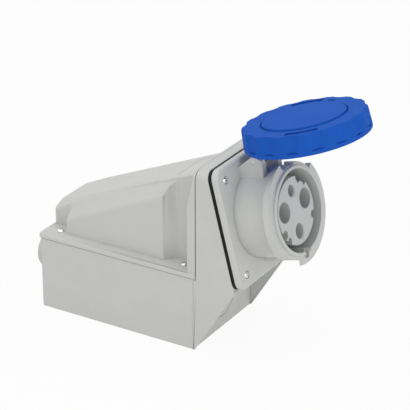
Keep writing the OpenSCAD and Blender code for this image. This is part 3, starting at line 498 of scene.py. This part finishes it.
def screw_tree():
    """Geometry Nodes: a domed cross-recess screw on every point it is given."""
    tree = bpy.data.node_groups.new("domed_screws", "GeometryNodeTree")
    for name, kind in (("Places", "Geometry"), ("Head Radius", "Float"), ("Shank Length", "Float"),
                       ("Axis", "Vector"), ("Finish", "Material")):
        tree.interface.new_socket(name, in_out="INPUT", socket_type="NodeSocket" + kind)
    tree.interface.new_socket("Screws", in_out="OUTPUT", socket_type="NodeSocketGeometry")
    given = add(tree, "NodeGroupInput").outputs

    # The dome is the upper half of a ball, whose lower half is pressed flat
    ball = add(tree, "GeometryNodeMeshUVSphere", {"Segments": DOME_SEGMENTS, "Rings": DOME_RINGS})
    spot = add(tree, "ShaderNodeSeparateXYZ", {0: add(tree, "GeometryNodeInputPosition").outputs[0]})
    height = add(tree, "ShaderNodeMath", {0: spot.outputs["Z"], 1: 0.0}, operation="MAXIMUM")
    height = add(tree, "ShaderNodeMath", {0: height.outputs[0], 1: SCREW_HEAD_HEIGHT}, operation="MULTIPLY")
    pressed = add(tree, "ShaderNodeCombineXYZ", {
        "X": spot.outputs["X"], "Y": spot.outputs["Y"], "Z": height.outputs[0]})
    dome = add(tree, "GeometryNodeSetPosition", {
        "Geometry": ball.outputs["Mesh"], "Position": pressed.outputs[0]})

    # Two crossed bars cut the recess
    cross = add(tree, "GeometryNodeMeshBoolean", operation="UNION")
    for bar_x, bar_y in ((2 * RECESS_REACH, RECESS_WIDTH), (RECESS_WIDTH, 2 * RECESS_REACH)):
        bar = add(tree, "GeometryNodeMeshCube", {"Size": (bar_x, bar_y, 2 * RECESS_DEPTH)})
        raised = add(tree, "GeometryNodeTransform", {
            "Geometry": bar.outputs["Mesh"], "Translation": (0, 0, SCREW_HEAD_HEIGHT)})
        tree.links.new(raised.outputs["Geometry"], cross.inputs["Mesh 2"])
    recessed = add(tree, "GeometryNodeMeshBoolean", {
        "Mesh 1": dome.outputs["Geometry"], "Mesh 2": cross.outputs["Mesh"]}, operation="DIFFERENCE")
    head = add(tree, "GeometryNodeTransform", {
        "Geometry": recessed.outputs["Mesh"], "Scale": given["Head Radius"]})

    # The shank hangs from the head's flat side
    radius = add(tree, "ShaderNodeMath", {0: given["Head Radius"], 1: SCREW_SHANK}, operation="MULTIPLY")
    middle = add(tree, "ShaderNodeMath", {0: given["Shank Length"], 1: -0.5}, operation="MULTIPLY")
    down = add(tree, "ShaderNodeCombineXYZ", {"Z": middle.outputs[0]})
    rod = add(tree, "GeometryNodeMeshCylinder", {
        "Vertices": SHANK_SIDES, "Radius": radius.outputs[0], "Depth": given["Shank Length"]})
    shank = add(tree, "GeometryNodeTransform", {
        "Geometry": rod.outputs["Mesh"], "Translation": down.outputs[0]})

    screw = add(tree, "GeometryNodeJoinGeometry")
    for part in (head, shank):
        tree.links.new(part.outputs["Geometry"], screw.inputs["Geometry"])
    turn = add(tree, "FunctionNodeAlignRotationToVector", {"Vector": given["Axis"]}, axis="Z")
    spread = add(tree, "GeometryNodeInstanceOnPoints", {
        "Points": given["Places"], "Instance": screw.outputs["Geometry"],
        "Rotation": turn.outputs["Rotation"]})
    real = add(tree, "GeometryNodeRealizeInstances", {"Geometry": spread.outputs["Instances"]})
    done = add(tree, "GeometryNodeSetMaterial", {
        "Geometry": real.outputs["Geometry"], "Material": given["Finish"]})
    add(tree, "NodeGroupOutput", {"Screws": done.outputs["Geometry"]})
    return tree


def loose_parts(node):
    """The points of each separate solid of a CAD node."""
    bm = bmesh.new()
    bm.from_mesh(merged_copy(node))
    left = set(bm.verts)
    parts = []
    for first in bm.verts:
        if first not in left:
            continue
        left.remove(first)
        part = []
        todo = [first]
        while todo:
            vertex = todo.pop()
            part.append(vertex.co.copy())
            for edge in vertex.link_edges:
                other = edge.other_vert(vertex)
                if other in left:
                    left.remove(other)
                    todo.append(other)
        parts.append(part)
    bm.free()
    return parts


def reach_along(points, way):
    """The lowest and the highest place of points along a direction."""
    places = [point.dot(way) for point in points]
    return min(places), max(places)


def add_screws(tree, node, axis):
    """Sets a domed screw in the place of each screw of a CAD node, which are all of one size."""
    across = axis.orthogonal().normalized()
    aside = axis.cross(across)
    places = []
    for part in loose_parts(node):
        foot, top = reach_along(part, axis)
        left, right = reach_along(part, across)
        near, far = reach_along(part, aside)
        radius = (right - left) / 2
        seat = top - SCREW_HEAD_HEIGHT * radius
        places.append(axis * seat + across * (left + right) / 2 + aside * (near + far) / 2)
    mesh = bpy.data.meshes.new(node + "_places")
    mesh.from_pydata(places, [], [])
    holder = bpy.data.objects.new(node + "_places", mesh)
    bpy.context.scene.collection.objects.link(holder)
    modifier = holder.modifiers.new("screws", "NODES")
    modifier.node_group = tree
    values = {
        "Head Radius": radius,
        "Shank Length": seat - foot,
        "Axis": axis,
        "Finish": FINISHES[SLOT_OF[node]],
    }
    for socket in tree.interface.items_tree:
        if socket.in_out == "INPUT" and socket.name in values:
            modifier[socket.identifier] = values[socket.name]
    screws = bpy.data.meshes.new_from_object(holder.evaluated_get(bpy.context.evaluated_depsgraph_get()))
    holder.modifiers.clear()
    bpy.data.objects.remove(holder)
    screws.shade_smooth()
    screws.set_sharp_from_angle(angle=SHARP)
    add_piece(node + "_domed", screws, node)


def add_camera():
    """The camera at the photograph's viewing angle."""
    level = math.cos(VIEW_ELEVATION)
    back = Vector((
        math.sin(VIEW_AZIMUTH) * level, -math.cos(VIEW_AZIMUTH) * level, math.sin(VIEW_ELEVATION)))
    data = bpy.data.cameras.new("photo_camera")
    data.lens = VIEW_LENS
    data.sensor_width = SENSOR_WIDTH
    camera = bpy.data.objects.new("photo_camera", data)
    camera.location = VIEW_TARGET + VIEW_DISTANCE * back
    camera.rotation_euler = back.to_track_quat("Z", "Y").to_euler()
    bpy.context.scene.collection.objects.link(camera)
    bpy.context.scene.camera = camera


def add_lamp(name, place, size, power):
    """A soft round lamp that faces the object."""
    data = bpy.data.lights.new(name, "AREA")
    data.shape = "DISK"
    data.size = size
    data.energy = power
    lamp = bpy.data.objects.new(name, data)
    lamp.location = place
    lamp.rotation_euler = (Vector(place) - LAMP_TARGET).to_track_quat("Z", "Y").to_euler()
    bpy.context.scene.collection.objects.link(lamp)


def seen_ray(tree):
    """Is 1 for a ray that shows the background: from the camera, or by way of metal or glass."""
    path = add(tree, "ShaderNodeLightPath").outputs
    seen = add(tree, "ShaderNodeMath", {
        0: path["Is Camera Ray"], 1: path["Is Transmission Ray"]}, operation="MAXIMUM")
    seen = add(tree, "ShaderNodeMath", {0: seen.outputs[0], 1: path["Is Glossy Ray"]}, operation="MAXIMUM")
    return seen.outputs[0]


def add_world():
    """White world: pure white where it is seen, and a plain level of light on the object."""
    world = bpy.data.worlds.new("studio")
    bpy.context.scene.world = world
    world.use_nodes = True
    tree = world.node_tree
    tree.nodes.clear()
    strength = add(tree, "ShaderNodeMapRange", {
        "Value": seen_ray(tree), "To Min": WORLD_LIGHT, "To Max": WORLD_SEEN})
    sky = add(tree, "ShaderNodeBackground", {"Color": WHITE, "Strength": strength.outputs["Result"]})
    add(tree, "ShaderNodeOutputWorld", {"Surface": sky.outputs["Background"]})


def add_floor():
    """White paper floor: nearly as white as the world where it is seen, with a faint shadow of the object."""
    material, tree = new_material("white_paper_sweep")
    paper = add(tree, "ShaderNodeBsdfDiffuse", {"Color": linear(FLOOR_PAPER)})
    glow = add(tree, "ShaderNodeEmission", {"Color": WHITE, "Strength": 1.0})
    share = add(tree, "ShaderNodeMapRange", {
        "Value": seen_ray(tree), "To Min": FLOOR_LIGHT, "To Max": FLOOR_SEEN})
    mix = add(tree, "ShaderNodeMixShader", {
        0: share.outputs["Result"], 1: paper.outputs["BSDF"], 2: glow.outputs["Emission"]})
    add(tree, "ShaderNodeOutputMaterial", {"Surface": mix.outputs["Shader"]})
    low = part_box("base_box")[0][2] - FLOOR_DROP
    corners = [(x * FLOOR_HALF, y * FLOOR_HALF, low) for x, y in ((-1, -1), (1, -1), (1, 1), (-1, 1))]
    mesh = bpy.data.meshes.new("floor")
    mesh.from_pydata(corners, [], [(0, 1, 2, 3)])
    mesh.materials.append(material)
    floor = bpy.data.objects.new("floor", mesh)
    bpy.context.scene.collection.objects.link(floor)


# Every CAD node gets its finish, and rounded copies then take the places of most nodes that are seen
for name, slot in SLOT_OF.items():
    materials = frame["nodes"][name].data.materials
    materials.clear()
    materials.append(FINISHES[slot])

cutter = ring_cutter()
for name, width in SOFT_EDGES.items():
    soften(name, width * MM, cutter if name == "bayonet_ring" else None)
bpy.data.objects.remove(cutter)
add_keyway_web()

domed_screws = screw_tree()
add_screws(domed_screws, "cover_screws", Vector((0, 0, 1)))
add_screws(domed_screws, "flange_screws", SOCKET_AXIS)

add_camera()
add_world()
add_floor()
for name, (place, size, power) in LAMPS.items():
    add_lamp(name, place, size, power)
bpy.context.scene.view_settings.view_transform = "Standard"
